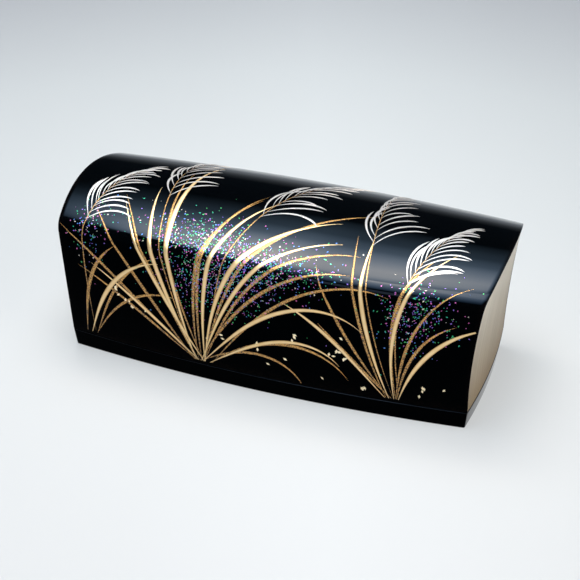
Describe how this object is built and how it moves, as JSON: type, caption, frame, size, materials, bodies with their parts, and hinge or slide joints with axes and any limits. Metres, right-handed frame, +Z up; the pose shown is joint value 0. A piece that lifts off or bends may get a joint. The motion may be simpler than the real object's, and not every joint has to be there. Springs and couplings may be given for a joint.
{
  "type": "lacquer coffer",
  "caption": "Long lacquered coffer with bowed sides, pale end boards and a deep vaulted cover that lifts off a finger-jointed inner body.",
  "frame": {"origin": "centre of the coffer's underside, on the surface it stands on", "axes": "+X along the long side to the right, +Y from the front to the back, +Z up"},
  "size_m": [0.301, 0.1348, 0.1131],
  "materials": {
    "black_lacquer": "gloss",
    "inner_lacquer": "satin",
    "pale_board": "satin",
    "key_wood": "matte"
  },
  "bodies": {
    "base": {"base_band_front": "black_lacquer", "base_band_right": "black_lacquer", "base_band_back": "black_lacquer", "base_band_left": "black_lacquer", "band_key_front_left": "key_wood", "band_key_front_right": "key_wood", "band_key_back_right": "key_wood", "band_key_back_left": "key_wood", "bottom_board": "inner_lacquer", "body_wall_front": "inner_lacquer", "body_wall_right": "inner_lacquer", "body_wall_back": "inner_lacquer", "body_wall_left": "inner_lacquer"},
    "cover": {"lid_wall_front": "black_lacquer", "lid_shoulder_front": "black_lacquer", "lid_crown_stave_1": "black_lacquer", "lid_crown_stave_2": "black_lacquer", "lid_crown_stave_3": "black_lacquer", "lid_shoulder_back": "black_lacquer", "lid_wall_back": "black_lacquer", "lid_end_left": "pale_board", "lid_end_right": "pale_board"}
  },
  "joints": [
    {"name": "cover_lift", "type": "slide", "parent": "base", "child": "cover", "axis": [0, 0, 1], "range_m": [0, 0.15]}
  ]
}
